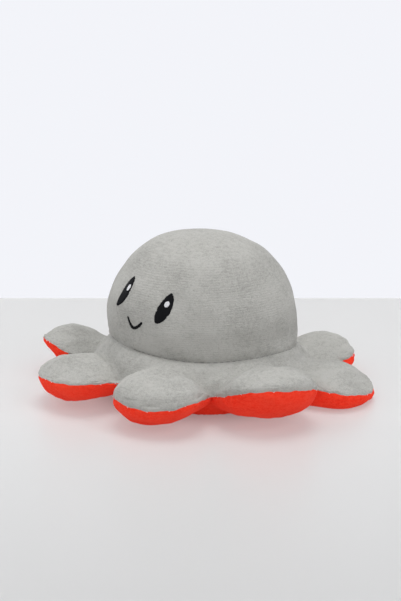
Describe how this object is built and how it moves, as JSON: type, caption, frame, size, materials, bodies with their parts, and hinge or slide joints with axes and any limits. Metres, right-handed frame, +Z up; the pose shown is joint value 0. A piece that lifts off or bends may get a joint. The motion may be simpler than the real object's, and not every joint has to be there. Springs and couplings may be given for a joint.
{
  "type": "plush octopus",
  "caption": "Small stuffed toy octopus that turns inside out: grey domed head with a stitched smile, round leg lobes, red underside and lining.",
  "frame": {"origin": "on the surface the toy stands on, under the middle of its outline", "axes": "+Z up through the crown of the head; the stitched face looks along -Y, give or take two degrees"},
  "size_m": [0.1912, 0.1876, 0.089],
  "materials": {
    "grey_velour": "short-pile velour",
    "red_velour": "short-pile velour",
    "stuffing": "polyester fibre filling",
    "grey_thread": "sewing thread",
    "red_thread": "sewing thread",
    "black_thread": "satin stitch embroidery",
    "white_thread": "satin stitch embroidery"
  },
  "bodies": {
    "body": {"head_cover": "grey_velour", "head_filling": "stuffing", "head_lining": "red_velour", "skirt_upper": "grey_velour", "skirt_filling": "stuffing", "skirt_lower": "red_velour", "neck_seam": "grey_thread", "mouth_seam": "red_thread", "eye_left": "black_thread", "eye_right": "black_thread", "glint_left": "white_thread", "glint_right": "white_thread", "smile": "black_thread", "inner_eye_left": "black_thread", "inner_eye_right": "black_thread", "inner_glint_left": "white_thread", "inner_glint_right": "white_thread", "inner_mouth": "black_thread"},
    "leg_1": {"leg_1_upper": "grey_velour", "leg_1_filling": "stuffing", "leg_1_lower": "red_velour"},
    "leg_2": {"leg_2_upper": "grey_velour", "leg_2_filling": "stuffing", "leg_2_lower": "red_velour"},
    "leg_3": {"leg_3_upper": "grey_velour", "leg_3_filling": "stuffing", "leg_3_lower": "red_velour"},
    "leg_4": {"leg_4_upper": "grey_velour", "leg_4_filling": "stuffing", "leg_4_lower": "red_velour"},
    "leg_5": {"leg_5_upper": "grey_velour", "leg_5_filling": "stuffing", "leg_5_lower": "red_velour"},
    "leg_6": {"leg_6_upper": "grey_velour", "leg_6_filling": "stuffing", "leg_6_lower": "red_velour"},
    "leg_7": {"leg_7_upper": "grey_velour", "leg_7_filling": "stuffing", "leg_7_lower": "red_velour"},
    "leg_8": {"leg_8_upper": "grey_velour", "leg_8_filling": "stuffing", "leg_8_lower": "red_velour"}
  },
  "joints": [
    {"name": "leg_1_fold", "type": "hinge", "parent": "body", "child": "leg_1", "pos_m": [0.02404, -0.05804, 0.015], "axis": [-0.9239, -0.3827, 0], "range_deg": [-20, 45], "stiffness_Nm_per_rad": 0.02},
    {"name": "leg_2_fold", "type": "hinge", "parent": "body", "child": "leg_2", "pos_m": [0.05804, -0.02404, 0.015], "axis": [-0.3827, -0.9239, 0], "range_deg": [-20, 45], "stiffness_Nm_per_rad": 0.02},
    {"name": "leg_3_fold", "type": "hinge", "parent": "body", "child": "leg_3", "pos_m": [0.05804, 0.02404, 0.015], "axis": [0.3827, -0.9239, 0], "range_deg": [-20, 45], "stiffness_Nm_per_rad": 0.02},
    {"name": "leg_4_fold", "type": "hinge", "parent": "body", "child": "leg_4", "pos_m": [0.02404, 0.05804, 0.015], "axis": [0.9239, -0.3827, 0], "range_deg": [-20, 45], "stiffness_Nm_per_rad": 0.02},
    {"name": "leg_5_fold", "type": "hinge", "parent": "body", "child": "leg_5", "pos_m": [-0.02404, 0.05804, 0.015], "axis": [0.9239, 0.3827, 0], "range_deg": [-20, 45], "stiffness_Nm_per_rad": 0.02},
    {"name": "leg_6_fold", "type": "hinge", "parent": "body", "child": "leg_6", "pos_m": [-0.05804, 0.02404, 0.015], "axis": [0.3827, 0.9239, 0], "range_deg": [-20, 45], "stiffness_Nm_per_rad": 0.02},
    {"name": "leg_7_fold", "type": "hinge", "parent": "body", "child": "leg_7", "pos_m": [-0.05804, -0.02404, 0.015], "axis": [-0.3827, 0.9239, 0], "range_deg": [-20, 45], "stiffness_Nm_per_rad": 0.02},
    {"name": "leg_8_fold", "type": "hinge", "parent": "body", "child": "leg_8", "pos_m": [-0.02404, -0.05804, 0.015], "axis": [-0.9239, 0.3827, 0], "range_deg": [-20, 45], "stiffness_Nm_per_rad": 0.02}
  ]
}
